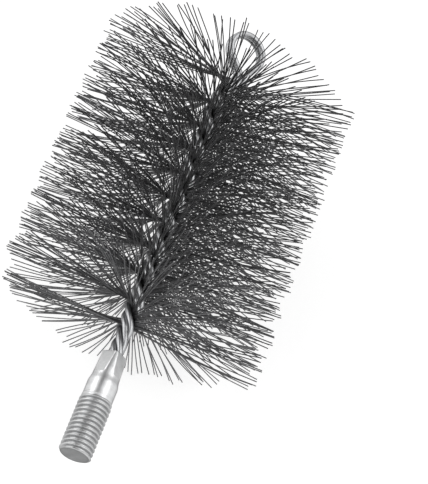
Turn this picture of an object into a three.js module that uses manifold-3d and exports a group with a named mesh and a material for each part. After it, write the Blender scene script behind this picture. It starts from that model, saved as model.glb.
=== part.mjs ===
// A chimney sweep's brush of twisted wire, in millimetres.
// The stem lies along +X, from the threaded ferrule's end face at the origin to the eye at the far
// end. The brush lies on its bristles, with +Z up.
import * as THREE from "three";
import { mergeVertices } from "three/addons/utils/BufferGeometryUtils.js";
import Module from "manifold-3d";

const wasm = await Module();
wasm.setup();

// Ferrule: a turned steel plug with a rod thread, drilled from the far end for the stem
const threadDiameter = 12;
const threadPitch = 1.75;
const threadDepth = 1.07;
const threadLength = 23;
const endChamfer = 0.6;
const shankDiameter = 11.1;
const shankLength = 4.6;
const neckLength = 3.6;
const neckWall = 1.85;
const crimpLength = 9.2;
const crimpCornerWall = 1.35;
const crimpWall = 0.5;
const crimpStep = 0.95;
const mouthChamfer = 0.3;
const solidEndLength = 20;
const fitClearance = 0.3;
const crimpTurn = THREE.MathUtils.degToRad(16);

// Stem: two wires, each doubled over, twisted left-handed about each other
const wireDiameter = 2.1;
const wireGap = 0.25;
const twistPitch = 22.3;
const bareStemLength = 11.6;
const spreadLength = 3;
const topStemLength = 3.2;
const bendLength = 11;
const bendAside = 4.8;

// Eye: the two doubled ends, side by side, in a plane turned about the stem and leaning back over it
const eyeRadius = 7.3;
const eyeThroat = 3.2;
const eyeTurn = THREE.MathUtils.degToRad(37);
const eyeLean = THREE.MathUtils.degToRad(12);

// Bristles: cut wires held crosswise between the stem's two pairs of strands
const brushDiameter = 101;
const brushLength = 113;
const bristleWidth = 0.6;
const bristleLayer = 0.9;
const layerEdge = 0.05;
const groupGap = 0.3;
const lowSplay = 3;
const splayLength = 11;
const restFlat = 0.5;
const overrun = 1;

// Counts
const turnSides = 20;
const crimpFlats = 4;
const wireSides = 6;
const stepsPerTurn = 12;
const eyeSteps = 12;
const layerStepsPerTurn = 16;
const bristleSides = 3;
const bristleGroups = 4;
const bristlesPerGroup = 96;

// Shapes as shares of the sizes that carry them
const rootFlatShare = 1 / 4;
const crestFlatShare = 1 / 8;
const fadeTurnsShare = 0.6;
const runOutTurnsShare = 1.6;
const goldenShare = (Math.sqrt(5) - 1) / 2;

const wireRadius = wireDiameter / 2;
const laySlope = (2 * Math.PI * wireRadius * Math.SQRT2) / twistPitch;
const strandOffset = wireRadius * Math.hypot(1, laySlope) + wireGap / 2;
const spreadOffset = wireRadius + fitClearance + bristleLayer / 2;
const bundleRadius = Math.hypot(strandOffset, strandOffset) + wireRadius;
const socketRadius = bundleRadius + fitClearance;
const layerReach = strandOffset + wireRadius - layerEdge;
const bristleReach = brushDiameter / 2;

const ferruleLength = threadLength + shankLength + neckLength + crimpLength;
const brushStart = ferruleLength + bareStemLength;
const brushEnd = brushStart + brushLength;
const eyeStart = brushEnd + topStemLength;

// A point at a distance from the stem's axis, its angle measured from +Y towards +Z
function around(x, radius, angle) {
  return new THREE.Vector3(x, radius * Math.cos(angle), radius * Math.sin(angle));
}

// The twist's angle, which is the eye's own where the stem opens into it
function twistAt(x) {
  return eyeTurn - (2 * Math.PI * (x - eyeStart)) / twistPitch;
}

// How far the stem's centre lies aside: it bends gently just below the eye
function bendAt(x) {
  return -bendAside * THREE.MathUtils.smoothstep(x, eyeStart - bendLength, eyeStart);
}

// The angle of that bend, from the slope of its smooth step
function bendAngle(x) {
  const share = THREE.MathUtils.clamp((x - eyeStart + bendLength) / bendLength, 0, 1);
  return -Math.atan((6 * share * (1 - share) * bendAside) / bendLength);
}

// A point of the twisted frame: across goes from pair to pair, along runs in the bristle layer
function twisted(x, across, along) {
  const out = around(0, Math.hypot(across, along), twistAt(x) + Math.atan2(along, across));
  const bend = bendAngle(x);
  return new THREE.Vector3(x - out.y * Math.sin(bend), bendAt(x) + out.y * Math.cos(bend), out.z);
}

// A closed surface, gathered point by point and face by face
class Surface {
  points = [];
  faces = [];

  add(point) {
    this.points.push(point.x, point.y, point.z);
    return this.points.length / 3 - 1;
  }

  ring(x, radius, sides) {
    const angles = Array.from({ length: sides }, (_, i) => (2 * Math.PI * i) / sides);
    return angles.map((angle) => this.add(around(x, radius, angle)));
  }

  quad(a, b, c, d) {
    this.faces.push(a, b, c, a, c, d);
  }

  fan(corners) {
    for (let i = 1; i + 1 < corners.length; i++) this.faces.push(corners[0], corners[i], corners[i + 1]);
  }

  band(first, second) {
    first.forEach((corner, i) => {
      const next = (i + 1) % first.length;
      this.quad(corner, first[next], second[next], second[i]);
    });
  }

  geometry() {
    const made = new THREE.BufferGeometry();
    made.setAttribute("position", new THREE.Float32BufferAttribute(this.points, 3));
    made.setIndex(this.faces);
    return made;
  }
}

// A closed geometry as a solid that can be cut and joined
function solidOf(geometry) {
  const bare = geometry.clone();
  bare.deleteAttribute("normal");
  bare.deleteAttribute("uv");
  const merged = mergeVertices(bare);
  const triVerts = new Uint32Array(merged.index.array);
  const vertProperties = merged.attributes.position.array;
  return new wasm.Manifold(new wasm.Mesh({ numProp: 3, vertProperties, triVerts }));
}

function geometryOf(solid) {
  const mesh = solid.getMesh();
  const made = new THREE.BufferGeometry();
  made.setAttribute("position", new THREE.Float32BufferAttribute(mesh.vertProperties, 3));
  made.setIndex(Array.from(mesh.triVerts));
  const faceted = made.toNonIndexed();
  faceted.computeVertexNormals();
  return faceted;
}

// The thread's surface radius at a turn of the helix: 0 is the root, 1 the crest
function threadRadius(turn, turns, height) {
  const rootRadius = threadDiameter / 2 - threadDepth;
  const fadeIn = Math.min(1, turn / fadeTurnsShare);
  const runOut = Math.min(1, (turns - turn) / runOutTurnsShare);
  const root = THREE.MathUtils.lerp(shankDiameter / 2, rootRadius, runOut);
  const crest = THREE.MathUtils.lerp(shankDiameter / 2, threadDiameter / 2, runOut);
  return THREE.MathUtils.lerp(root, crest, height * fadeIn);
}

// The right-hand thread, wound as one strip of root, flank, crest and flank from ring to ring
function windThread(surface, lowRing, topRing) {
  const flankShare = (1 - rootFlatShare - crestFlatShare) / 2;
  const places = [0, flankShare, flankShare + crestFlatShare, 1 - rootFlatShare];
  const heights = [0, 1, 1, 0];
  const last = places.length - 1;
  const turns = Math.floor((threadLength - endChamfer) / threadPitch) - 1;
  const rows = [];
  for (let step = 0; step <= turns * turnSides; step++) {
    const turn = step / turnSides;
    const corner = (place, k) => {
      const x = endChamfer + threadPitch * (turn + place);
      return surface.add(around(x, threadRadius(turn, turns, heights[k]), 2 * Math.PI * turn));
    };
    rows.push(places.map(corner));
  }
  for (let step = 0; step < turns * turnSides; step++) {
    const row = rows[step];
    const next = rows[step + 1];
    for (let k = 0; k < last; k++) surface.quad(row[k], next[k], next[k + 1], row[k + 1]);
  }
  for (let step = 0; step < (turns - 1) * turnSides; step++) {
    const above = step + turnSides;
    surface.quad(rows[step][last], rows[step + 1][last], rows[above + 1][0], rows[above][0]);
  }
  const topTurn = (turns - 1) * turnSides;
  const endRow = rows[turns * turnSides];
  for (let i = 0; i + 1 < turnSides; i++) {
    surface.quad(lowRing[i], lowRing[i + 1], rows[i + 1][0], rows[i][0]);
    const step = topTurn + i + 1;
    const ringNext = topRing[(i + 2) % turnSides];
    surface.quad(rows[step][last], rows[step + 1][last], ringNext, topRing[i + 1]);
  }
  const low = turnSides - 1;
  surface.fan([lowRing[low], lowRing[0], ...rows[0], rows[turnSides][0], rows[low][0]]);
  const top = [rows[topTurn + 1][last], topRing[1], topRing[0]];
  surface.fan([...top, ...endRow.toReversed(), rows[topTurn][last]]);
}

// One flat of the crimp, pressed deeper towards the ferrule's mouth
function crimpPress(angle) {
  const width = shankDiameter + 2 * overrun;
  const length = crimpLength + overrun;
  const slope = Math.atan2(crimpStep, crimpLength);
  const press = new THREE.BoxGeometry(length, width, width);
  press.translate(length / 2, width / 2, 0);
  press.rotateZ(-slope);
  press.translate(ferruleLength - crimpLength, socketRadius + crimpWall + crimpStep, 0);
  press.rotateX(angle);
  return solidOf(press);
}

function threadedFerrule() {
  const surface = new Surface();
  const shankRadius = shankDiameter / 2;
  const rootRadius = threadDiameter / 2 - threadDepth;
  const crimpStart = ferruleLength - crimpLength;
  const mouthRadius = socketRadius + crimpCornerWall;
  const ring = (x, radius) => surface.ring(x, radius, turnSides);
  const faceCentre = ring(0, 0)[0];
  const face = ring(0, rootRadius - endChamfer / 2);
  const chamferTop = ring(endChamfer / 2, rootRadius);
  const threadTop = ring(threadLength, shankRadius);
  const outside = [
    threadTop,
    ring(threadLength + shankLength, shankRadius),
    ring(crimpStart, socketRadius + neckWall),
    ring(ferruleLength - mouthChamfer, mouthRadius),
    ring(ferruleLength, mouthRadius - mouthChamfer),
    ring(ferruleLength, socketRadius),
    ring(solidEndLength, socketRadius),
  ];
  const socketFloor = outside.at(-1);
  const floorCentre = ring(solidEndLength, 0)[0];
  surface.band(face, chamferTop);
  windThread(surface, chamferTop, threadTop);
  outside.slice(1).forEach((next, i) => surface.band(outside[i], next));
  face.forEach((corner, i) => {
    const next = (i + 1) % turnSides;
    surface.faces.push(corner, faceCentre, face[next]);
    surface.faces.push(socketFloor[i], socketFloor[next], floorCentre);
  });
  let ferrule = solidOf(surface.geometry());
  for (let flat = 0; flat < crimpFlats; flat++) {
    const angle = crimpTurn + (2 * Math.PI * (flat + 1 / 2)) / crimpFlats;
    ferrule = ferrule.subtract(crimpPress(angle));
  }
  return geometryOf(ferrule);
}

// How far each pair of strands stands off the axis: close in the bare stem, spread by the bristles
function pairOffset(x) {
  const before = THREE.MathUtils.smoothstep(x, brushStart - spreadLength, brushStart);
  const after = THREE.MathUtils.smoothstep(x, brushEnd, brushEnd + spreadLength);
  return THREE.MathUtils.lerp(strandOffset, spreadOffset, before - after);
}

// One strand from the socket's floor to the eye, as points from a formula
function strandPoints(pairSide, layerSide) {
  const start = solidEndLength + fitClearance + wireRadius * laySlope;
  const steps = Math.ceil(((eyeStart - start) / twistPitch) * stepsPerTurn);
  return Array.from({ length: steps + 1 }, (_, i) => {
    const x = THREE.MathUtils.lerp(start, eyeStart, i / steps);
    return twisted(x, pairSide * pairOffset(x), layerSide * strandOffset);
  });
}

// A point of the eye: ahead of its throat, aside in its plane and off its plane
function inEye(ahead, aside, off) {
  const point = new THREE.Vector3(ahead, aside, off);
  point.applyAxisAngle(new THREE.Vector3(0, 0, 1), eyeLean);
  point.applyAxisAngle(new THREE.Vector3(1, 0, 0), eyeTurn);
  return point.add(new THREE.Vector3(eyeStart, bendAt(eyeStart), 0));
}

// The round of the eye, from where the straight throat touches it to the other side
function eyePoints(layerSide) {
  const centre = eyeRadius + eyeThroat;
  const distance = Math.hypot(centre, strandOffset);
  const reach = Math.PI - Math.atan2(strandOffset, centre) - Math.acos(eyeRadius / distance);
  return Array.from({ length: eyeSteps + 1 }, (_, i) => {
    const angle = reach - (2 * reach * i) / eyeSteps;
    const ahead = centre + eyeRadius * Math.cos(angle);
    return inEye(ahead, eyeRadius * Math.sin(angle), layerSide * strandOffset);
  });
}

// One wire: up the stem in one pair, round the eye, and back down in the other pair
function stemWire(layerSide) {
  const up = strandPoints(1, layerSide);
  const down = strandPoints(-1, layerSide).reverse();
  const points = [...up, ...eyePoints(layerSide), ...down];
  const path = new THREE.CatmullRomCurve3(points, false, "centripetal");
  path.arcLengthDivisions = points.length * wireSides;
  const section = new THREE.Shape();
  for (let i = 0; i < wireSides; i++) {
    const angle = (2 * Math.PI * i) / wireSides;
    const corner = [wireRadius * Math.cos(angle), wireRadius * Math.sin(angle)];
    if (i === 0) section.moveTo(...corner);
    else section.lineTo(...corner);
  }
  const steps = points.length - 1;
  return new THREE.ExtrudeGeometry(section, { steps, extrudePath: path, bevelEnabled: false });
}

// The packed middles of one group of bristles, a twisted band between the pairs of strands
function layerSurface(from, to) {
  const surface = new Surface();
  const steps = Math.ceil(((to - from) / twistPitch) * layerStepsPerTurn);
  const across = bristleLayer / 2;
  const rings = Array.from({ length: steps + 1 }, (_, i) => {
    const x = THREE.MathUtils.lerp(from, to, i / steps);
    const upper = [-layerReach, 0, layerReach].map((along) => surface.add(twisted(x, across, along)));
    const lower = [layerReach, 0, -layerReach].map((along) => surface.add(twisted(x, -across, along)));
    return [...upper, ...lower];
  });
  for (let i = 0; i < steps; i++) surface.band(rings[i], rings[i + 1]);
  surface.fan(rings[0].toReversed());
  surface.fan(rings[steps]);
  return surface.geometry();
}

// How far a bristle's tip is pushed along the stem: outwards in the rows nearest the ferrule
function splayAt(x) {
  const low = Math.max(0, 1 - (x - brushStart) / splayLength);
  return -lowSplay * low ** 2;
}

// One bristle, straight from inside the layer to its tip, in the plane of its own twist angle
function addBristle(surface, x, side, spread) {
  const root = layerReach / 2;
  const radius = bristleWidth / 2;
  const angle = twistAt(x) + (side * Math.PI) / 2;
  const tipShift = splayAt(x) + spread * (twistPitch / 4 - bristleWidth);
  const ring = (centre) => {
    const stepAlong = new THREE.Vector3(radius, 0, 0);
    const stepAcross = around(0, radius, angle + Math.PI / 2);
    return Array.from({ length: bristleSides }, (_, i) => {
      const turn = (2 * Math.PI * i) / bristleSides;
      const corner = centre.clone().addScaledVector(stepAlong, Math.cos(turn));
      return surface.add(corner.addScaledVector(stepAcross, -Math.sin(turn)));
    });
  };
  const rootRing = ring(twisted(x, 0, side * root));
  const tipRing = ring(around(x + tipShift, bristleReach, angle));
  surface.band(rootRing, tipRing);
  surface.fan(rootRing.toReversed());
  surface.fan(tipRing);
}

// What lies below the plane that the brush rests on
function belowRest() {
  const depth = brushDiameter;
  const slab = new THREE.BoxGeometry(brushLength * 2, brushDiameter, depth);
  slab.translate(brushStart + brushLength / 2, 0, -(bristleReach - restFlat) - depth / 2);
  return solidOf(slab);
}

// One group of bristles, with the slice of packed middles that holds them
function bristleGroup(group) {
  const share = brushLength / bristleGroups;
  const from = brushStart + group * share + groupGap / 2;
  const to = from + share - groupGap;
  const pairs = bristlesPerGroup / 2;
  const surface = new Surface();
  for (let i = 0; i < bristlesPerGroup; i++) {
    const place = (Math.floor(i / 2) + 1 / 2) / pairs;
    const side = i % 2 === 0 ? 1 : -1;
    const number = group * pairs + Math.floor(i / 2) + (side * pairs) / 2;
    const spread = 2 * THREE.MathUtils.euclideanModulo(number * goldenShare, 1) - 1;
    addBristle(surface, THREE.MathUtils.lerp(from, to, place), side, spread);
  }
  const joined = solidOf(layerSurface(from, to)).add(solidOf(surface.geometry()));
  return geometryOf(joined.subtract(belowRest()));
}

const zincPlated = new THREE.MeshStandardMaterial({ color: 0xb4b6b8, roughness: 0.35, metalness: 1 });
const galvanised = new THREE.MeshStandardMaterial({ color: 0x8e9092, roughness: 0.4, metalness: 1 });
const springSteel = new THREE.MeshStandardMaterial({ color: 0x37383a, roughness: 0.5, metalness: 0.9 });

const brush = new THREE.Group();

function addPiece(name, geometry, material) {
  const piece = new THREE.Mesh(geometry, material);
  piece.name = name;
  brush.add(piece);
}

addPiece("threaded_ferrule", threadedFerrule(), zincPlated);
addPiece("stem_wire_a", stemWire(1), galvanised);
addPiece("stem_wire_b", stemWire(-1), galvanised);
for (let group = 0; group < bristleGroups; group++) {
  addPiece(`bristles_${group + 1}`, bristleGroup(group), springSteel);
}

export default brush;
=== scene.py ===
# %% [markdown]
# A chimney sweep's brush, photographed from above and from its threaded end.
# Some hundreds of cut steel wires are held crosswise in a stem of twisted wire. The stem ends in a
# pulling eye, and in a steel ferrule whose thread screws into a sweep's rod.
# The CAD model is the frame: it says where each piece lies. Each step below makes the fine surface of
# one piece in that place, in metres.

import math

import bpy
import numpy as np
from mathutils import Matrix, Vector


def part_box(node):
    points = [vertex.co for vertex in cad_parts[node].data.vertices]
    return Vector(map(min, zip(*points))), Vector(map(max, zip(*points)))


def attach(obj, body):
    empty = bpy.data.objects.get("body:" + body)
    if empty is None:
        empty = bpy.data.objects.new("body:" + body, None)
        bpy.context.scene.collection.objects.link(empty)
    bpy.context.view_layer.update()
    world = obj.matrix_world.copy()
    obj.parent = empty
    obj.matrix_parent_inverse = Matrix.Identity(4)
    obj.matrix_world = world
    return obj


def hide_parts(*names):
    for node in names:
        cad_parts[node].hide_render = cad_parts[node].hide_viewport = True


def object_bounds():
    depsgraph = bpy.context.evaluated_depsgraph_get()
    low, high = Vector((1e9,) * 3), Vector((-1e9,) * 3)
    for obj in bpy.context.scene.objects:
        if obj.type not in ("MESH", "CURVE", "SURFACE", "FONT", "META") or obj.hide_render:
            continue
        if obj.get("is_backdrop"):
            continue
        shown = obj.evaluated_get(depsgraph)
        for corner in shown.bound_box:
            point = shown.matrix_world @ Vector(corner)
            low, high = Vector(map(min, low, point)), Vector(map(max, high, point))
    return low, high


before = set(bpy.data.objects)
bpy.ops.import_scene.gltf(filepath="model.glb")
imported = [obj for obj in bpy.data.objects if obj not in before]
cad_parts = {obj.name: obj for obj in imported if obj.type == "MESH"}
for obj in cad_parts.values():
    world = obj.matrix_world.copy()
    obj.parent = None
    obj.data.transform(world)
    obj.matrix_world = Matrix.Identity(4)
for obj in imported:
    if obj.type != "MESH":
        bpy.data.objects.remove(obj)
cad_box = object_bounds()
mm = 0.001
print("nodes in the frame:", sorted(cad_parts))

# %% [markdown]
# The camera looks down at the brush from beyond the threaded end. A long lens keeps the head of the
# brush nearly as wide at the eye as it is at the ferrule, as the photograph shows. A camera can be set
# by eye, but this one's tilt and distance come from the ellipse of the end face and the head's taper,
# and its place from where the ends of the stem lie in the picture.

# %% Camera
camera_place = Vector((-238.6, -130.2, 591.7)) * mm
look_down = math.radians(59.25)
look_turn = math.radians(18.55)
lens_length = 141.3


def placed(name, data):
    """An object that shows some data, put into the scene."""
    thing = bpy.data.objects.new(name, data)
    bpy.context.scene.collection.objects.link(thing)
    return thing


camera_data = bpy.data.cameras.new("camera")
camera_data.lens = lens_length
camera = placed("camera", camera_data)
camera.location = camera_place
look_along = Vector((
    math.cos(look_down) * math.cos(look_turn),
    math.cos(look_down) * math.sin(look_turn),
    -math.sin(look_down),
))
camera.rotation_euler = look_along.to_track_quat("-Z", "Y").to_euler()
bpy.context.scene.camera = camera
bpy.context.scene.view_settings.view_transform = "Standard"
print("camera", [round(value, 3) for value in camera_place])

# %% [markdown]
# Every material below is a small net of nodes. It could be wired node by node, but four helpers keep
# each net short enough to read: one starts a material, one adds a node with its settings and its fixed
# inputs, one carries a value from one range to another, and one joins two values.

# %% Node helpers
def new_material(name):
    """A material, its node tree and its main shader."""
    material = bpy.data.materials.new(name)
    material.use_nodes = True
    tree = material.node_tree
    return material, tree, tree.nodes["Principled BSDF"]


def add_node(tree, kind, values=None, **settings):
    """A node with properties set by name, and unlinked inputs set from a dictionary."""
    node = tree.nodes.new(kind)
    for name, value in settings.items():
        setattr(node, name, value)
    for socket, value in (values or {}).items():
        node.inputs[socket].default_value = value
    return node


def mapped(tree, source, from_range, to_range):
    """A value carried from one range to another, and held at its ends."""
    names = ("From Min", "From Max", "To Min", "To Max")
    node = add_node(tree, "ShaderNodeMapRange", dict(zip(names, (*from_range, *to_range))))
    tree.links.new(source, node.inputs["Value"])
    return node.outputs["Result"]


def joined(tree, operation, first, second):
    """Two values joined by one operation, such as ADD or MULTIPLY."""
    node = add_node(tree, "ShaderNodeMath", operation=operation)
    tree.links.new(first, node.inputs[0])
    tree.links.new(second, node.inputs[1])
    return node.outputs[0]


helpers = (new_material, add_node, mapped, joined)
print("node helpers:", [helper.__name__ for helper in helpers])

# %% [markdown]
# The brush lies on a plain floor, which the picture shows as white. Stronger lamps could whiten it, but
# they would bleach the metal too. So a grey floor takes the shadow, and a white glow lifts it to white.
# The camera and the metal's mirror image see that glow, and no other light comes from it.

# %% Stage helpers
rest_height = cad_box[0].z


def seen_or_mirrored(tree):
    """1 for the camera's own rays and for mirrored and bent ones, and 0 for all other light."""
    light_path = add_node(tree, "ShaderNodeLightPath")
    seen = light_path.outputs["Is Camera Ray"]
    for ray in ("Is Glossy Ray", "Is Transmission Ray"):
        seen = joined(tree, "MAXIMUM", seen, light_path.outputs[ray])
    return seen


def level_plane(name, length, width, place, material):
    """A level rectangle, for what stands round the brush."""
    x = length / 2
    y = width / 2
    mesh = bpy.data.meshes.new(name)
    mesh.from_pydata([(-x, -y, 0), (x, -y, 0), (x, y, 0), (-x, y, 0)], [], [(0, 1, 2, 3)])
    mesh.materials.append(material)
    plane = placed(name, mesh)
    plane.location = place
    return plane


print("the brush's lowest point: z =", round(rest_height, 4))

# %% Floor
floor_size = 3.0
floor_grey = (0.45, 0.45, 0.45, 1)
floor_lift = 0.74

floor_paper, tree, shader = new_material("floor_paper")
tree.nodes.remove(shader)
paper = add_node(tree, "ShaderNodeBsdfDiffuse", {"Color": floor_grey})
lift = add_node(tree, "ShaderNodeEmission")
both = add_node(tree, "ShaderNodeAddShader")
lift_strength = mapped(tree, seen_or_mirrored(tree), (0, 1), (0, floor_lift))
tree.links.new(lift_strength, lift.inputs["Strength"])
tree.links.new(paper.outputs[0], both.inputs[0])
tree.links.new(lift.outputs[0], both.inputs[1])
tree.links.new(both.outputs[0], tree.nodes["Material Output"].inputs["Surface"])
floor = level_plane("floor", floor_size, floor_size, (0, 0, rest_height), floor_paper)
floor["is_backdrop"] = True
print("floor:", floor_size, "m square")

# %% [markdown]
# Round the floor, the world is white for the camera and in the metal's mirror image. A picture of a
# studio could stand there instead, but the photograph's background is plain. As a light the world is
# weaker and even, and fills the shadows.

# %% World
even_light = 0.45

world = bpy.data.worlds.new("studio")
bpy.context.scene.world = world
world.use_nodes = True
tree = world.node_tree
sky = tree.nodes["Background"]
sky.inputs["Color"].default_value = (1, 1, 1, 1)
sky_strength = mapped(tree, seen_or_mirrored(tree), (0, 1), (even_light, 1))
tree.links.new(sky_strength, sky.inputs["Strength"])
print("world strength for light:", even_light)

# %% [markdown]
# Bright metal shows what stands round it. The ferrule in the photograph is light on both sides, with
# one dark stripe along its top, as if two long soft lamps stood beside it with a dark gap between them.
# So two area lamps lie along the stem here. Small lamps would leave sparks on the metal instead. These
# are only a little brighter than the white world, so a highlight stays just short of glare.

# %% Lamps
lamp_distance = 0.9
lamp_length = 1.6
lamp_width = 0.45
lamp_height_angle = math.radians(42)
lamp_power = 3.6


def soft_lamp(name, side):
    """A long soft lamp on one side of the brush (+1 or -1), facing the stem."""
    data = bpy.data.lights.new(name, "AREA")
    data.shape = "RECTANGLE"
    data.size = lamp_length
    data.size_y = lamp_width
    data.energy = lamp_power
    lamp = placed(name, data)
    away = Vector((0, side * math.cos(lamp_height_angle), math.sin(lamp_height_angle)))
    lamp.location = (cad_box[0] + cad_box[1]) / 2 + away * lamp_distance
    lamp.rotation_euler = (side * (lamp_height_angle - math.pi / 2), 0, 0)


soft_lamp("lamp_left", 1)
soft_lamp("lamp_right", -1)
print("lamps:", lamp_power, "W each")

# %% [markdown]
# The dark gap is a dark card that hangs over the brush, and only the metal's mirror image sees it. The
# stripe could be painted on the ferrule instead, but it would then stay where it is in every view. A
# round bar doubles every angle it mirrors, so even a slim stripe on it needs a wide card.

# %% Dark card
card_distance = 1.0
card_angle = math.radians(85)
card_width = 0.5
card_length = 2.6
card_shift_share = 1 / 4
card_grey = (0.02, 0.02, 0.02, 1)

card_black, tree, shader = new_material("card_black")
shader.inputs["Base Color"].default_value = card_grey
card_place = (card_length * card_shift_share, card_distance * math.cos(card_angle), card_distance)
card = level_plane("dark_card", card_length, card_width, card_place, card_black)
card.visible_camera = False
card.visible_diffuse = False
card.visible_shadow = False
card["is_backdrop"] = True
print("dark card", card_width, "m wide, at", [round(value, 2) for value in card_place])

# %% [markdown]
# The stem is two galvanised wires. Each is doubled over to make the eye, and its two strands are then
# twisted left-handed with the other wire's. Between the two pairs of strands lie the bristles, which
# hold the pairs a little apart. Just below the eye the stem is bent aside, and the eye leans back.

# %% The stem's measures
ferrule_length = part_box("threaded_ferrule")[1].x
bare_stem = 11.6 * mm
top_stem = 3.2 * mm
brush_length = 113 * mm
wire_radius = 1.1 * mm
twist_pitch = 22.3 * mm
spread_length = 3 * mm
bristle_layer = 1.4 * mm
bend_length = 11 * mm
bend_aside = 4.8 * mm
eye_turn = math.radians(37)
eye_lean = math.radians(12)

brush_start = ferrule_length + bare_stem
brush_end = brush_start + brush_length
eye_start = brush_end + top_stem
lay_slope = 2 * math.pi * wire_radius * math.sqrt(2) / twist_pitch
strand_offset = wire_radius * math.hypot(1, lay_slope)
spread_offset = wire_radius + bristle_layer / 2
layer_reach = strand_offset + wire_radius
print("bristles from", round(brush_start, 4), "to", round(brush_end, 4))

# %% [markdown]
# The twist could be a modifier on straight wires, but the pairs stand further apart where the bristles
# are, and the stem bends near its eye. So a formula gives the centre of every strand. A point is set
# off from the stem's centre line, square to it, and turned by the twist's angle at that place.

# %% The twist and the bend
def smooth(value):
    """A smooth step from 0 to 1."""
    value = min(1, max(0, value))
    return value * value * (3 - 2 * value)


def around(x, radius, angle):
    """A point at a distance from the X axis, its angle measured from +Y towards +Z."""
    return Vector((x, radius * math.cos(angle), radius * math.sin(angle)))


def twist_at(x):
    """The twist's angle, which is the eye's own where the stem opens into it."""
    return eye_turn - 2 * math.pi * (x - eye_start) / twist_pitch


def bend_at(x):
    """How far the stem's centre lies aside."""
    return -bend_aside * smooth((x - eye_start + bend_length) / bend_length)


def bend_angle(x):
    """The angle of the bend, from the slope of its smooth step."""
    share = min(1, max(0, (x - eye_start + bend_length) / bend_length))
    return -math.atan(6 * share * (1 - share) * bend_aside / bend_length)


def twisted(x, across, along):
    """A point of the twisted frame: across goes from pair to pair, along in the bristle layer."""
    out = around(0, math.hypot(across, along), twist_at(x) + math.atan2(along, across))
    bend = bend_angle(x)
    return Vector((x - out.y * math.sin(bend), bend_at(x) + out.y * math.cos(bend), out.z))


def pair_offset(x):
    """How far each pair of strands stands off the centre: spread where the bristles are."""
    before = smooth((x - brush_start + spread_length) / spread_length)
    after = smooth((x - brush_end) / spread_length)
    return strand_offset + (spread_offset - strand_offset) * (before - after)


print("twist at the ferrule's mouth:", round(math.degrees(twist_at(ferrule_length)) % 360), "degrees")

# %% [markdown]
# One stem wire runs up the twist in one pair, round the eye, and back down in the other pair. Its
# strands start just above the floor of the ferrule's socket, so that both ends are hidden there.

# %% Strands
socket_floor = 20 * mm
steps_per_turn = 48


def strand_points(pair_side, layer_side):
    """One strand, from the socket's floor up to the eye."""
    start = socket_floor + wire_radius
    steps = math.ceil((eye_start - start) / twist_pitch * steps_per_turn)
    places = [start + (eye_start - start) * i / steps for i in range(steps + 1)]
    return [twisted(x, pair_side * pair_offset(x), layer_side * strand_offset) for x in places]


print("points in one strand:", len(strand_points(1, 1)))

# %% [markdown]
# The eye is a circle, reached by two straight lines that touch it. It is easiest to draw in a plane of
# its own, which is then turned and leaned into its place on the stem.

# %% Eye
eye_radius = 7.3 * mm
eye_throat = 3.2 * mm
eye_steps = 72
throat_steps = 14

eye_frame = Matrix.Rotation(eye_turn, 3, "X") @ Matrix.Rotation(eye_lean, 3, "Z")
eye_base = Vector((eye_start, bend_at(eye_start), 0))


def in_eye(ahead, aside, off):
    """A point of the eye: ahead of its throat, aside in its plane and off its plane."""
    return eye_base + eye_frame @ Vector((ahead, aside, off))


def eye_points(layer_side):
    """The eye: up one side of the throat, round the circle and down the other side."""
    centre = eye_radius + eye_throat
    off = layer_side * strand_offset
    distance = math.hypot(centre, strand_offset)
    reach = math.pi - math.atan2(strand_offset, centre) - math.acos(eye_radius / distance)
    rise = []
    for i in range(1, throat_steps):
        share = i / throat_steps
        ahead = share * (centre + eye_radius * math.cos(reach))
        rise.append((ahead, strand_offset + share * (eye_radius * math.sin(reach) - strand_offset)))
    turn = []
    for i in range(eye_steps + 1):
        angle = reach - 2 * reach * i / eye_steps
        turn.append((centre + eye_radius * math.cos(angle), eye_radius * math.sin(angle)))
    fall = [(ahead, -aside) for ahead, aside in reversed(rise)]
    return [in_eye(ahead, aside, off) for ahead, aside in rise + turn + fall]


print("eye:", round(2 * (eye_radius + wire_radius) / mm, 1), "mm wide outside")

# %% [markdown]
# A curve with a round bevel is Blender's own way to draw wire. Each wire is a line of points, and the
# bevel gives it its round section, its closed ends and a map along its length. It is turned into a
# mesh at once, so that the piece is a plain mesh with the wire's true surface. A stem wire shows its
# round section, and a thin bristle doesn't, so a bristle gets fewer sides.

# %% Wire mesh
stem_roundness = 6
bristle_roundness = 1


def wire_mesh(name, paths, radius, roundness):
    """Round wires through lists of points, all in one mesh."""
    curve = bpy.data.curves.new(name, "CURVE")
    curve.dimensions = "3D"
    curve.bevel_depth = radius
    curve.bevel_resolution = roundness
    curve.use_fill_caps = True
    for points in paths:
        spline = curve.splines.new("POLY")
        spline.points.add(len(points) - 1)
        spline.points.foreach_set("co", [value for point in points for value in (*point, 1)])
    drawn = placed(name, curve)
    mesh = bpy.data.meshes.new_from_object(drawn)
    bpy.data.objects.remove(drawn)
    return placed(name, mesh)


print("sides of a stem wire:", 4 + 2 * stem_roundness, "and of a bristle:", 4 + 2 * bristle_roundness)

# %% [markdown]
# Where the twist opens into the eye, the path has corners. A real wire bends there with a small radius,
# so the points near them are evened out: each one moves a little towards its neighbours, many times.

# %% Stem wires
evening_rounds = 24
evened_length = 9 * mm


def evened(points):
    """The same path with its corners near the eye's throat rounded."""
    points = [point.copy() for point in points]
    near = [i for i, point in enumerate(points) if abs(point.x - eye_start) < evened_length / 2]
    for _ in range(evening_rounds):
        old = [point.copy() for point in points]
        for i in near:
            points[i] = (old[i - 1] + old[i] * 2 + old[i + 1]) / 4
    return points


def stem_wire(name, layer_side):
    """One doubled wire as a piece."""
    up = strand_points(1, layer_side)
    down = strand_points(-1, layer_side)[::-1]
    path = evened(up + eye_points(layer_side) + down)
    wire = wire_mesh(name, [path], wire_radius, stem_roundness)
    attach(wire, "root")
    return wire


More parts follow.
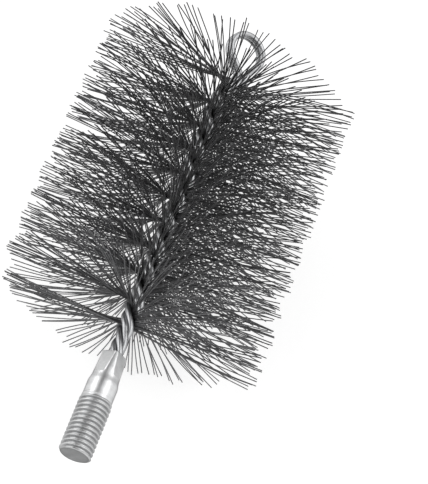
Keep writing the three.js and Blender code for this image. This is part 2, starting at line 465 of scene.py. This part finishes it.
stem_a = stem_wire("twisted_wire_a", 1)
stem_b = stem_wire("twisted_wire_b", -1)
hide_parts("stem_wire_a")
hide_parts("stem_wire_b")
print("faces in one stem wire:", len(stem_a.data.polygons))

# %% [markdown]
# Each bristle is one cut wire, held at its middle between the two pairs of strands, so it shows as two
# bristles on opposite sides. The twist turns each wire a little further than the last, and so they
# stand all round the stem. Hair particles could do this too, but a loop leaves every wire in our hands,
# and makes it the same every time.

# %% The bristles' measures
brush_reach = 50.5 * mm
tip_overreach = 0.3 * mm
bristle_radius = 0.21 * mm
wires_per_group = 180
group_nodes = [f"bristles_{number}" for number in (1, 2, 3, 4)]
print("bristle wires:", wires_per_group * len(group_nodes))

# %% [markdown]
# In the photograph the rows at both ends of the head splay out a little, except on one side, where they
# lean inwards: low on the left near the ferrule, and on top near the eye. The left ones near the
# ferrule are also a few millimetres shorter. Each tip could be moved by hand, but a formula moves all
# of a side together and fades away from the ends.

# %% End rows
pull_length = 18 * mm
end_splay = 1.5 * mm
low_pull = 8 * mm
low_pull_angle = math.radians(320)
top_pull = 6 * mm
top_pull_angle = math.radians(95)
left_short = 4 * mm
left_angle = math.radians(35)


def end_shares(x):
    """How near a row is to the low end and to the top end of the head: 1 at the very end."""
    low = max(0, 1 - (x - brush_start) / pull_length)
    top = max(0, 1 - (brush_end - x) / pull_length)
    return low ** 2, top ** 2


def on_side(angle, middle):
    """How much an angle belongs to one side: 1 at its middle, and 0 from a quarter turn away."""
    return max(0, math.cos(angle - middle)) ** 2


def pull_at(x, angle):
    """How far a tip of the end rows moves along the stem: splayed out, but pulled in on one side."""
    low, top = end_shares(x)
    low_lean = low_pull * on_side(angle, low_pull_angle) - end_splay
    top_lean = top_pull * on_side(angle, top_pull_angle) - end_splay
    return low * low_lean - top * top_lean


low_most, top_most = (round((pull - end_splay) / mm, 1) for pull in (low_pull, top_pull))
print("tips lean in by at most", low_most, "mm near the ferrule and", top_most, "mm near the eye")

# %% [markdown]
# Springy wire doesn't stand quite straight: each wire bows a little, and the cut tips differ by about a
# millimetre. A cylinder for each wire would be simpler, but a line of a few points can bow.

# %% One bristle
random_seed = 7
short_tips = 1.3 * mm
bow_size = 0.7 * mm
half_steps = 8

rng = np.random.default_rng(random_seed)


def half_wire(x, across, side, shift, swing):
    """One half of a bristle wire, from the stem out to its cut end. None of it goes below the floor."""
    angle = twist_at(x) + side * math.pi / 2
    aside = angle + math.pi / 2
    reach = brush_reach + tip_overreach - abs(rng.normal(0, short_tips))
    reach -= left_short * end_shares(x)[0] * on_side(angle, left_angle)
    root = twisted(x, across, side * layer_reach)
    tip = around(x + shift, reach, angle) + around(0, swing, aside)
    bow_along, bow_round = rng.normal(0, bow_size, 2)
    points = []
    for i in range(half_steps + 1):
        share = i / half_steps
        bend = 4 * share * (1 - share)
        point = root.lerp(tip, share) + around(bow_along * bend, bow_round * bend, aside)
        if point.z < rest_height:
            point.y *= rest_height / point.z
            point.z = rest_height
        points.append(point)
    return points


print("points in one bristle wire:", 2 * (half_steps + 1))

# %% [markdown]
# Neighbours lean together in small tufts, so a few wires share one lean, and each adds a little of its
# own. The wires are made in four pieces, one for each stretch of the stem that the CAD model has.

# %% Bristles
tuft_size = 3
tuft_spread = 2.2 * mm
own_spread = 0.8 * mm
tip_swing = 1.1 * mm
own_swing_share = 1 / 2
end_calm_share = 0.7


def bristle_wires(from_x, to_x):
    """The paths of all bristle wires along one stretch of the stem."""
    paths = []
    for i in range(wires_per_group):
        x = from_x + (to_x - from_x) * (i + 0.5) / wires_per_group
        across = rng.uniform(-1, 1) * (bristle_layer / 2 - bristle_radius)
        loose = 1 - end_calm_share * max(end_shares(x))
        if i % tuft_size == 0:
            tufts = [(rng.uniform(-1, 1) * tuft_spread, rng.normal(0, tip_swing)) for _ in (1, -1)]
        halves = []
        for side, (tuft_shift, tuft_swing) in zip((1, -1), tufts):
            shift = (tuft_shift + rng.normal(0, own_spread)) * loose
            shift += pull_at(x, twist_at(x) + side * math.pi / 2)
            swing = tuft_swing + rng.normal(0, tip_swing * own_swing_share)
            halves.append(half_wire(x, across, side, shift, swing))
        paths.append(halves[0][::-1] + halves[1])
    return paths


group_length = brush_length / len(group_nodes)
bristle_pieces = []
for number, node_name in enumerate(group_nodes):
    low_end = brush_start + number * group_length
    paths = bristle_wires(low_end, low_end + group_length)
    piece = wire_mesh("wire_" + node_name, paths, bristle_radius, bristle_roundness)
    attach(piece, "root")
    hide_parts(node_name)
    bristle_pieces.append(piece)
print("bristle pieces:", [piece.name for piece in bristle_pieces])

# %% [markdown]
# The ferrule is turned from bar: a rolled thread that screws into a rod, a plain shank, a neck, and a
# sleeve that four jaws have pressed flat onto the stem. A lathe profile can't hold the thread or the
# flats, but the whole surface is still a radius that depends on the place along the axis and on the
# angle round it. So a grid of rows and columns is laid over it, and a formula lifts each point.

# %% The ferrule's measures
thread_length = 23 * mm
thread_radius = 6 * mm
shank_length = 4.6 * mm
shank_radius = 5.55 * mm
neck_length = 3.6 * mm
neck_radius = 4.99 * mm
mouth_radius = 4.49 * mm

shank_end = thread_length + shank_length
crimp_start = shank_end + neck_length
print("ferrule:", round(ferrule_length / mm, 1), "mm long, pressed from", round(crimp_start / mm, 1))

# %% [markdown]
# The thread has rounded flanks, fades into the shank at its upper end, and is bevelled at its lower end.
# Blender's screw modifier sweeps a profile into a thread, but it can't fade it out, and the formula can.
# The same formula says how dull and how dark the thread is: a little less on its crest than in its root.
# The darkening is painted shade, deepest in the roots.

# %% Thread
thread_pitch = 1.75 * mm
thread_depth = 1.07 * mm
end_chamfer = 0.6 * mm
run_out_turns = 1.6
root_share = 1 / 4
crest_share = 1 / 8
# The crest takes a little less of the thread's dullness and painted shade.
crest_dull_and_shade_share = 0.9
press_blend = 0.06 * mm

root_radius = thread_radius - thread_depth
run_out_length = run_out_turns * thread_pitch


def soft_least(first, second, blend):
    """The lesser of two heights, rounded where they meet."""
    near = np.clip(0.5 + (second - first) / (2 * blend), 0, 1)
    return second + (first - second) * near - blend * near * (1 - near)


def smooth_steps(values):
    """A smooth step from 0 to 1, for many values at once."""
    values = np.clip(values, 0, 1)
    return values * values * (3 - 2 * values)


def thread_height(x, angles):
    """How high the thread stands: 0 at its root, 1 at its crest."""
    place = np.mod((x - end_chamfer) / thread_pitch - angles / (2 * math.pi), 1)
    flank = (1 - root_share - crest_share) / 2
    rise = smooth_steps(place / flank)
    fall = smooth_steps((place - flank - crest_share) / flank)
    return rise - fall


def thread_surface(x, angles):
    """The thread's radius, with its run-out into the shank and the bevel at its end."""
    run_out = min(1, max(0, (thread_length - x) / run_out_length))
    root = shank_radius + (root_radius - shank_radius) * run_out
    crest = shank_radius + (thread_radius - shank_radius) * run_out
    radii = root + (crest - root) * thread_height(x, angles)
    bevel = thread_radius - end_chamfer + x
    return soft_least(radii, np.full_like(radii, bevel), press_blend)


def thread_dull_and_shade(x, angles):
    """Dullness and painted shade on the thread: less on its crest than in its root, fading at the shank.
    """
    fading = min(1, (thread_length - x) / run_out_length)
    return (1 - (1 - crest_dull_and_shade_share) * thread_height(x, angles)) * fading


across = [round(2 * radius / mm, 2) for radius in (thread_radius, root_radius)]
print("thread, in mm across its crests and across its roots:", across)

# %% [markdown]
# Each of the four jaws has left a flat on the sleeve, deeper towards the mouth and curved at its low
# end. Boxes could be cut away there, but the lesser of two radii does the same with a soft edge. A flat
# is a straight line, and at an angle from its middle its radius is its depth over the angle's cosine.

# %% Pressed sleeve
flat_low = 4.59 * mm
flat_mouth = 3.5 * mm
flat_step = 0.12 * mm
flat_end_round = 1.2 * mm
flat_edge_blend = 0.14 * mm
crimp_turn = math.radians(16)


def sleeve_surface(x, angles):
    """The pressed sleeve's radius, and how much of each point is a pressed flat."""
    share = (x - crimp_start) / (ferrule_length - crimp_start)
    sleeve = np.full_like(angles, neck_radius + (mouth_radius - neck_radius) * share)
    depth = flat_low + (flat_mouth - flat_low) * share
    quarter = np.mod(angles - crimp_turn, math.pi / 2) - math.pi / 4
    flats = depth / np.cos(quarter)
    low_end = crimp_start + flat_end_round * (quarter / (math.pi / 4)) ** 2
    pressed = np.clip((x - low_end) / flat_step, 0, 1)
    flats = flats + (1 - pressed) * (neck_radius - flat_low)
    radii = soft_least(sleeve, flats, flat_edge_blend)
    return radii, np.clip((sleeve - flats) / flat_edge_blend, 0, 1) * pressed


def outer_surface(x, angles):
    """The radius at every angle, and two masks: the thread's dullness and painted shade, and the flats.
    """
    nothing = np.zeros_like(angles)
    if x < thread_length:
        return thread_surface(x, angles), thread_dull_and_shade(x, angles), nothing
    if x < crimp_start:
        neck = shank_radius + (neck_radius - shank_radius) * smooth((x - shank_end) / neck_length)
        return np.full_like(angles, neck), nothing, nothing
    radii, flats = sleeve_surface(x, angles)
    return radii, nothing, flats


print("flats at the mouth:", round(2 * flat_mouth / mm, 1), "mm apart")

# %% [markdown]
# The rows lie close together along the thread and at the low end of the flats, and further apart on
# the plain shank. They run over the end face, along the outside, round the mouth and down the bore.

# %% Ferrule rows
around_steps = 160
rows_per_pitch = 20
face_rings = 6
shank_rows = 6
neck_rows = 14
step_rows = 40
sleeve_rows = 34
mouth_rows = 4
bore_rows = 8
mouth_chamfer = 0.3 * mm
bore_radius = 3.02 * mm

mouth_start = ferrule_length - mouth_chamfer
angles = np.linspace(0, 2 * math.pi, around_steps, endpoint=False)
nothing = np.zeros_like(angles)


def spaced(start, end, count):
    """Places from start up to, but not including, end."""
    return [start + (end - start) * i / count for i in range(count)]


def outside_places():
    """Where the rows of the outside lie along the axis."""
    low_ends = crimp_start + flat_end_round + flat_step
    places = spaced(0, thread_length, round(thread_length / thread_pitch * rows_per_pitch))
    places += spaced(thread_length, shank_end, shank_rows)
    places += spaced(shank_end, crimp_start, neck_rows)
    places += spaced(crimp_start, low_ends, step_rows)
    return places + spaced(low_ends, mouth_start, sleeve_rows)


def ferrule_rows():
    """Every row of the grid: its place along the axis, its radii and its two masks."""
    rim = thread_surface(0, angles)
    rows = [(0, rim * ring / face_rings, nothing, nothing) for ring in range(1, face_rings)]
    rows += [(x, *outer_surface(x, angles)) for x in outside_places()]
    mouth, dull_and_shade, flats = outer_surface(mouth_start, angles)
    for i in range(mouth_rows + 1):
        turn = math.pi / 2 * i / mouth_rows
        x = ferrule_length - mouth_chamfer * (1 - math.sin(turn))
        rows.append((x, mouth - mouth_chamfer * (1 - math.cos(turn)), dull_and_shade, flats))
    bore = np.full_like(angles, bore_radius)
    bore_places = [ferrule_length, *spaced(mouth_start, socket_floor, bore_rows), socket_floor]
    return rows + [(x, bore, nothing, nothing) for x in bore_places]


rows = ferrule_rows()
print("ferrule rows:", len(rows), "of", around_steps, "points each")

# %% [markdown]
# The rows become one closed mesh. Two masks go with its points, and the material reads them later: how
# dull the thread is there and how much painted shade it takes, and whether the point is on a pressed
# flat. In the photograph the flat end face is darker than most of the thread, so it takes a darker copy
# of the zinc, which is painted shade with a rougher finish. The hidden floor of the socket shares it.

# %% Ferrule mesh
sharp_angle = math.radians(38)


def grid_points():
    """All points of the rows, then the middle of the end face and of the socket's floor."""
    points = []
    for x, radii, dull_and_shade, flats in rows:
        points += zip(np.full_like(angles, x), radii * np.cos(angles), radii * np.sin(angles))
    points += [(0, 0, 0), (socket_floor, 0, 0)]
    return [tuple(map(float, point)) for point in points]


def grid_faces():
    """Four-cornered faces between the rows, then a fan of triangles at each end."""
    columns = [(i, (i + 1) % around_steps) for i in range(around_steps)]
    top = (len(rows) - 1) * around_steps
    first = top + around_steps
    last = first + 1
    faces = []
    for low in range(0, top, around_steps):
        high = low + around_steps
        faces += [(low + i, low + j, high + j, high + i) for i, j in columns]
    faces += [(j, i, first) for i, j in columns]
    return faces + [(top + i, top + j, last) for i, j in columns]


def add_mask(mesh, name, row_masks):
    """One value for each point of the mesh, and none at the two middles."""
    layer = mesh.attributes.new(name, "FLOAT", "POINT")
    layer.data.foreach_set("value", [float(value) for mask in row_masks for value in mask] + [0.0, 0.0])


faces = grid_faces()
mesh = bpy.data.meshes.new("rod_ferrule")
mesh.from_pydata(grid_points(), [], faces)
# This mask holds the thread's dullness and its painted shade.
add_mask(mesh, "thread_dull_and_shade", [dull_and_shade for x, radii, dull_and_shade, flats in rows])
add_mask(mesh, "pressed_flat", [flats for x, radii, dull_and_shade, flats in rows])
mesh.polygons.foreach_set("use_smooth", [True] * len(faces))
mesh.set_sharp_from_angle(angle=sharp_angle)
ring_faces = around_steps * (face_rings - 1)
# The end face and the socket's floor take the darker copy of the zinc: painted shade.
shaded_copy_indices = [1 if i < ring_faces or len(face) == 3 else 0 for i, face in enumerate(faces)]
mesh.polygons.foreach_set("material_index", shaded_copy_indices)

ferrule = placed("rod_ferrule", mesh)
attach(ferrule, "root")
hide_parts("threaded_ferrule")
print("faces in the ferrule:", len(mesh.polygons))

# %% [markdown]
# The metals below are clouded or streaked by noise, so they share a few more helpers. Pictures of worn
# metal could be wrapped round the pieces instead, but noise needs no file and can be fine at any size.

# %% Metal helpers
noise_span = (0.3, 0.7)


def new_metal(name):
    """A bare metal's material, its node tree and its shader."""
    material, tree, shader = new_material(name)
    shader.inputs["Metallic"].default_value = 1
    return material, tree, shader


def noise(tree, place, scale, detail):
    """Cloudy noise over a place, from 0 to 1."""
    node = add_node(tree, "ShaderNodeTexNoise", {"Scale": scale, "Detail": detail})
    tree.links.new(place, node.inputs["Vector"])
    return node.outputs["Fac"]


def stretched(tree, place, scales):
    """A place with each axis scaled, so that noise over it is drawn out."""
    node = add_node(tree, "ShaderNodeMapping", {"Scale": scales})
    tree.links.new(place, node.inputs["Vector"])
    return node.outputs["Vector"]


def between(tree, source, levels):
    """Noise carried from its middle span to two levels, and held there."""
    return mapped(tree, source, noise_span, levels)


def shaded(tree, colour, brightness):
    """One colour, made darker or lighter by a value."""
    node = add_node(tree, "ShaderNodeVectorMath", {0: colour}, operation="SCALE")
    tree.links.new(brightness, node.inputs["Scale"])
    return node.outputs[0]


def add_relief(tree, shader, height, strength, depth):
    """A small relief on a shader, from a height between 0 and 1."""
    bump = add_node(tree, "ShaderNodeBump", {"Strength": strength, "Distance": depth})
    tree.links.new(height, bump.inputs["Height"])
    tree.links.new(bump.outputs["Normal"], shader.inputs["Normal"])


print("noise is used from", noise_span[0], "to", noise_span[1])

# %% [markdown]
# Zinc plate is a bright, slightly cloudy metal. The lathe's marks run round the ferrule as fine rings.
# The thread is duller and darker than the shank, most of all in its roots. Its darkness is painted
# shade, and the pressed flats are darker. The metal's own colour carries the clouds, the painted shade
# and the flats, the roughness carries the scratches and the thread's dullness, and a small bump carries
# the
# rings: they are far finer than the mesh. The photograph shows the ferrule's edges darker than its
# middle, so the metal's tint at a glancing angle is a grey.

# %% Zinc plate
zinc_colour = (0.8, 0.805, 0.81)
edge_grey = (0.25, 0.25, 0.25, 1)
ring_scale = 2600
ring_detail = 2
ring_levels = (0.93, 1.03)
ring_strength = 0.12
ring_depth = 0.02 * mm
cloud_scale = 260
cloud_detail = 4
cloud_levels = (0.86, 1.04)
scratch_scales = (160, 1500, 1500)
scratch_detail = 3
# How dark the thread's painted shade makes the zinc, and how much rougher the thread is.
thread_shade_level = 0.76
thread_dull_roughness = 0.1
flat_level = 0.88
plate_brightness = 0.94
plate_roughness = (0.3, 0.44)
# The end face's darker copy of the zinc is painted shade, and its roughness is its own finish.
end_face_shade_brightness = 0.48
faced_roughness = (0.38, 0.5)


def lathe_rings(tree, place):
    """Noise by the place along the axis and the distance from it: rings on a side and on a face."""
    off_axis = add_node(tree, "ShaderNodeVectorMath", operation="LENGTH")
    tree.links.new(stretched(tree, place, (0, ring_scale, ring_scale)), off_axis.inputs[0])
    both = add_node(tree, "ShaderNodeVectorMath", operation="ADD")
    tree.links.new(stretched(tree, place, (ring_scale, 0, 0)), both.inputs[0])
    tree.links.new(off_axis.outputs["Value"], both.inputs[1])
    return noise(tree, both.outputs["Vector"], 1, ring_detail)


def mesh_mask(tree, name):
    """One of the masks that the mesh carries."""
    return add_node(tree, "ShaderNodeAttribute", attribute_name=name).outputs["Fac"]


def zinc_plate(name, brightness, roughness):
    """Bright plated steel, with rings from the lathe, clouds and fine scratches."""
    material, tree, shader = new_metal(name)
    place = add_node(tree, "ShaderNodeTexCoord").outputs["Object"]
    clouds = between(tree, noise(tree, place, cloud_scale, cloud_detail), cloud_levels)
    rings = lathe_rings(tree, place)
    scratches = noise(tree, stretched(tree, place, scratch_scales), 1, scratch_detail)
    dull_and_shade = mesh_mask(tree, "thread_dull_and_shade")
    flats = mesh_mask(tree, "pressed_flat")
    level = joined(tree, "MULTIPLY", clouds, between(tree, rings, ring_levels))
    # The thread is painted darker, deepest in its roots: painted shade.
    level = joined(tree, "MULTIPLY", level, mapped(tree, dull_and_shade, (0, 1), (1, thread_shade_level)))
    level = joined(tree, "MULTIPLY", level, mapped(tree, flats, (0, 1), (1, flat_level)))
    colour = [channel * brightness for channel in zinc_colour]
    tree.links.new(shaded(tree, colour, level), shader.inputs["Base Color"])
    added = mapped(tree, dull_and_shade, (0, 1), (0, thread_dull_roughness))
    rough = joined(tree, "ADD", between(tree, scratches, roughness), added)
    tree.links.new(rough, shader.inputs["Roughness"])
    shader.inputs["Specular Tint"].default_value = edge_grey
    add_relief(tree, shader, rings, ring_strength, ring_depth)
    return material


ferrule.data.materials.append(zinc_plate("zinc_plate", plate_brightness, plate_roughness))
# The second, darker finish is painted shade on the end face.
ferrule.data.materials.append(zinc_plate("end_face_painted_shade", end_face_shade_brightness, faced_roughness))
print("ferrule finishes:", [material.name for material in ferrule.data.materials])

# %% [markdown]
# Galvanised wire is duller: a grey zinc skin with a fine spangle, drawn out in streaks by the die. The
# streaks follow the wire, so they use the map that the curve gave it. The photograph's wire also goes
# lighter and darker along its length, and larger clouds of noise stand for that. The wire's edges
# darken as the ferrule's do.

# %% Galvanised wire
galvanised_colour = (0.54, 0.545, 0.555)
streak_scales = (26, 420, 1)
streak_detail = 3
streak_levels = (0.8, 1.08)
streak_roughness = (0.42, 0.3)
streak_strength = 0.15
streak_depth = 0.03 * mm
spangle_scale = 900
spangle_span = (0, 0.8)
spangle_levels = (1.05, 0.9)
smear_scale = 120
smear_detail = 5
smear_span = (0.42, 0.62)
smear_levels = (1, 0.68)

galvanised, tree, shader = new_metal("galvanised")
coordinates = add_node(tree, "ShaderNodeTexCoord")
streaks = noise(tree, stretched(tree, coordinates.outputs["UV"], streak_scales), 1, streak_detail)
spangle = add_node(tree, "ShaderNodeTexVoronoi", {"Scale": spangle_scale})
tree.links.new(coordinates.outputs["Object"], spangle.inputs["Vector"])
spangles = mapped(tree, spangle.outputs["Distance"], spangle_span, spangle_levels)
smears = noise(tree, coordinates.outputs["Object"], smear_scale, smear_detail)
level = joined(tree, "MULTIPLY", between(tree, streaks, streak_levels), spangles)
level = joined(tree, "MULTIPLY", level, mapped(tree, smears, smear_span, smear_levels))
tree.links.new(shaded(tree, galvanised_colour, level), shader.inputs["Base Color"])
tree.links.new(between(tree, streaks, streak_roughness), shader.inputs["Roughness"])
shader.inputs["Specular Tint"].default_value = edge_grey
add_relief(tree, shader, streaks, streak_strength, streak_depth)
for piece in (stem_a, stem_b):
    piece.data.materials.append(galvanised)
print("stem finish:", galvanised.name)

# %% [markdown]
# The bristles are spring wire: nearly black, with a soft gleam along each wire. No two wires are quite
# alike, so each takes its own brightness. One material for every wire could do that too, but Blender
# can tell the loose parts of a mesh apart, and one net of nodes then serves them all.

# %% Spring wire
spring_colour = (0.115, 0.115, 0.118)
wire_levels = (0.6, 1.5)
patch_scale = 700
patch_detail = 3
patch_levels = (0.75, 1.25)
patch_roughness = (0.5, 0.38)

spring, tree, shader = new_metal("spring_wire")
coordinates = add_node(tree, "ShaderNodeTexCoord")
each_wire = add_node(tree, "ShaderNodeNewGeometry").outputs["Random Per Island"]
patches = noise(tree, coordinates.outputs["Object"], patch_scale, patch_detail)
own_level = mapped(tree, each_wire, (0, 1), wire_levels)
level = joined(tree, "MULTIPLY", own_level, between(tree, patches, patch_levels))
tree.links.new(shaded(tree, spring_colour, level), shader.inputs["Base Color"])
tree.links.new(between(tree, patches, patch_roughness), shader.inputs["Roughness"])
print("bristle finish:", spring.name)

# %% [markdown]
# The shears leave every tip with a small bright face, which is the cap that the curve closed the wire
# with. The wire's sides are faces with four corners and its caps are triangles, so the corners tell
# them apart.

# %% Cut faces
cut_colour = (0.35, 0.35, 0.36)
cut_roughness = 0.45
grain_detail = 4
grain_levels = (0.7, 1.2)

cut_face, tree, shader = new_metal("cut_face")
coordinates = add_node(tree, "ShaderNodeTexCoord")
grain = noise(tree, coordinates.outputs["Object"], patch_scale, grain_detail)
tree.links.new(shaded(tree, cut_colour, between(tree, grain, grain_levels)), shader.inputs["Base Color"])
shader.inputs["Roughness"].default_value = cut_roughness

for piece in bristle_pieces:
    piece.data.materials.append(spring)
    piece.data.materials.append(cut_face)
    caps = [1 if len(polygon.vertices) == 3 else 0 for polygon in piece.data.polygons]
    piece.data.polygons.foreach_set("material_index", caps)
    print(piece.name, "faces:", len(caps), "of them cut faces:", sum(caps))

# %% [markdown]
# Blender makes the looks and leaves the size alone. So the last step measures the brush with its fine
# surfaces and writes that beside the CAD model's box, for the two to be compared.

# %% Sizes
visual_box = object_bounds()
boxes = {"cad": cad_box, "visual": visual_box}
for name, box in boxes.items():
    print(name, [round(value / mm, 1) for corner in box for value in corner])
